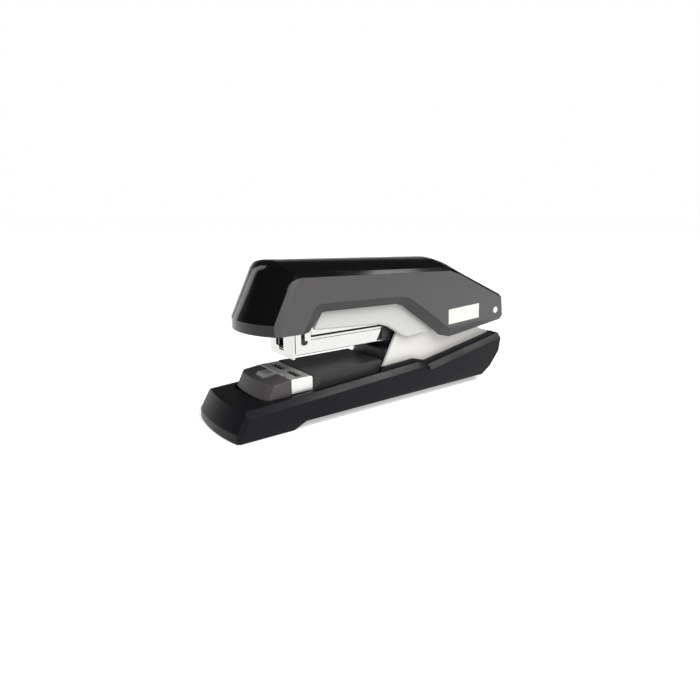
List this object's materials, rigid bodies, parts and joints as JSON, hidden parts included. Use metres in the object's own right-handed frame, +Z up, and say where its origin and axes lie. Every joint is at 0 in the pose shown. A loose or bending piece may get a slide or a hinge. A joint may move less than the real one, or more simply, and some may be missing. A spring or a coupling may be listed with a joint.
{
  "type": "stapler",
  "caption": "Half-strip desktop stapler: a long crowned handle over a light magazine arm with a front drawer, and a tray base with a sprung clinching table.",
  "frame": {"origin": "on the table under the middle of the stapler's bounding box", "axes": "+X from the jaw to the back along the length, +Y across it, +Z up"},
  "size_m": [0.1424, 0.036, 0.062],
  "materials": {
    "handle_gloss": "polished black moulding",
    "handle_satin": "satin dark grey moulding",
    "tray_black": "satin black moulding with fine grain",
    "unit_grey": "fine-grained dark grey moulding",
    "black_plastic": "moulded black plastic",
    "foot_rubber": "soft matt black rubber",
    "bracket_paint": "pale warm grey powder coat",
    "arm_paint": "light grey powder coat",
    "bright_steel": "bright zinc-plated sheet",
    "dark_steel": "oiled dark steel",
    "spring_steel": "drawn spring wire",
    "screw_steel": "zinc-plated screws, pins and rivets",
    "staple_wire": "glued galvanised wire strip",
    "mark_pale": "pale blank print"
  },
  "bodies": {
    "base": {"base_shell": "tray_black", "base_plate": "bright_steel", "front_foot": "foot_rubber", "rear_feet": "foot_rubber", "pivot_bracket": "bracket_paint", "bracket_screws": "screw_steel", "pivot_pin": "screw_steel", "pivot_bush": "black_plastic", "lift_spring": "spring_steel", "stop_post": "black_plastic", "anvil_housing": "unit_grey", "wing_block": "black_plastic", "wing_pins": "screw_steel", "table_springs": "spring_steel"},
    "clinch_table": {"clinch_plate": "bright_steel", "clinch_deck": "unit_grey"},
    "wing_left": {"left_wing": "bright_steel"},
    "wing_right": {"right_wing": "bright_steel"},
    "plate_lock": {"lock_button": "unit_grey"},
    "arm": {"magazine_frame": "arm_paint", "magazine_guide": "bright_steel", "guide_screws": "screw_steel", "head_guide": "black_plastic", "follower_rod": "screw_steel", "follower_spring": "spring_steel", "latch_housing": "black_plastic", "drawer_catch": "spring_steel", "release_spring": "spring_steel", "handle_spring": "spring_steel"},
    "pusher": {"follower": "black_plastic"},
    "drawer": {"magazine_drawer": "bright_steel", "drawer_tail": "black_plastic", "front_plate": "bright_steel", "staple_channel": "black_plastic", "staple_core": "dark_steel", "core_rivets": "screw_steel", "staple_strip": "staple_wire"},
    "driver": {"driver_blade": "dark_steel"},
    "release": {"release_button": "black_plastic"},
    "handle": {"handle_shell": "handle_satin", "handle_cover": "handle_gloss", "handle_frame": "dark_steel", "handle_screws": "screw_steel", "driver_holder": "black_plastic", "handle_label": "mark_pale", "handle_dot": "mark_pale"}
  },
  "joints": [
    {"name": "arm_hinge", "type": "hinge", "parent": "base", "child": "arm", "pos_m": [0.0538, 0, 0.038], "axis": [0, -1, 0], "range_deg": [0, 3.5], "stiffness_Nm_per_rad": 0.5, "springref_deg": -20.05},
    {"name": "handle_hinge", "type": "hinge", "parent": "arm", "child": "handle", "pos_m": [0.0538, 0, 0.038], "axis": [0, -1, 0], "range_deg": [0, 4.7], "stiffness_Nm_per_rad": 0.4, "springref_deg": -17.19, "deforming": ["handle_spring"]},
    {"name": "driver_slide", "type": "slide", "parent": "arm", "child": "driver", "axis": [0, 0, -1], "range_m": [0, 0.0078]},
    {"name": "drawer_slide", "type": "slide", "parent": "arm", "child": "drawer", "axis": [1, 0, 0], "range_m": [-0.034, 0]},
    {"name": "follower_slide", "type": "slide", "parent": "arm", "child": "pusher", "axis": [1, 0, 0], "range_m": [0, 0.027], "stiffness_N_per_m": 25, "springref_m": -0.03, "deforming": ["follower_spring"]},
    {"name": "release_slide", "type": "slide", "parent": "arm", "child": "release", "axis": [-1, 0, 0], "range_m": [0, 0.0025], "stiffness_N_per_m": 300, "springref_m": -0.003, "deforming": ["release_spring"]},
    {"name": "table_slide", "type": "slide", "parent": "base", "child": "clinch_table", "axis": [0, 0, -1], "range_m": [0, 0.0012], "stiffness_N_per_m": 1500, "springref_m": -0.001, "deforming": ["table_springs"]},
    {"name": "left_wing_hinge", "type": "hinge", "parent": "base", "child": "wing_left", "pos_m": [-0.0401, 0.0094, 0.0124], "axis": [-1, 0, 0], "range_deg": [0, 8.1]},
    {"name": "right_wing_hinge", "type": "hinge", "parent": "base", "child": "wing_right", "pos_m": [-0.0401, -0.0094, 0.0124], "axis": [1, 0, 0], "range_deg": [0, 8.1]},
    {"name": "lock_slide", "type": "slide", "parent": "base", "child": "plate_lock", "axis": [1, 0, 0], "range_m": [0, 0.0009], "stiffness_N_per_m": 200, "springref_m": -0.001}
  ],
  "couplings": [
    {"joint": "driver_slide", "follows": "handle_hinge", "m_per_rad": 0.0939},
    {"joint": "left_wing_hinge", "follows": "table_slide", "rad_per_m": 116.3},
    {"joint": "right_wing_hinge", "follows": "table_slide", "rad_per_m": 116.3}
  ]
}
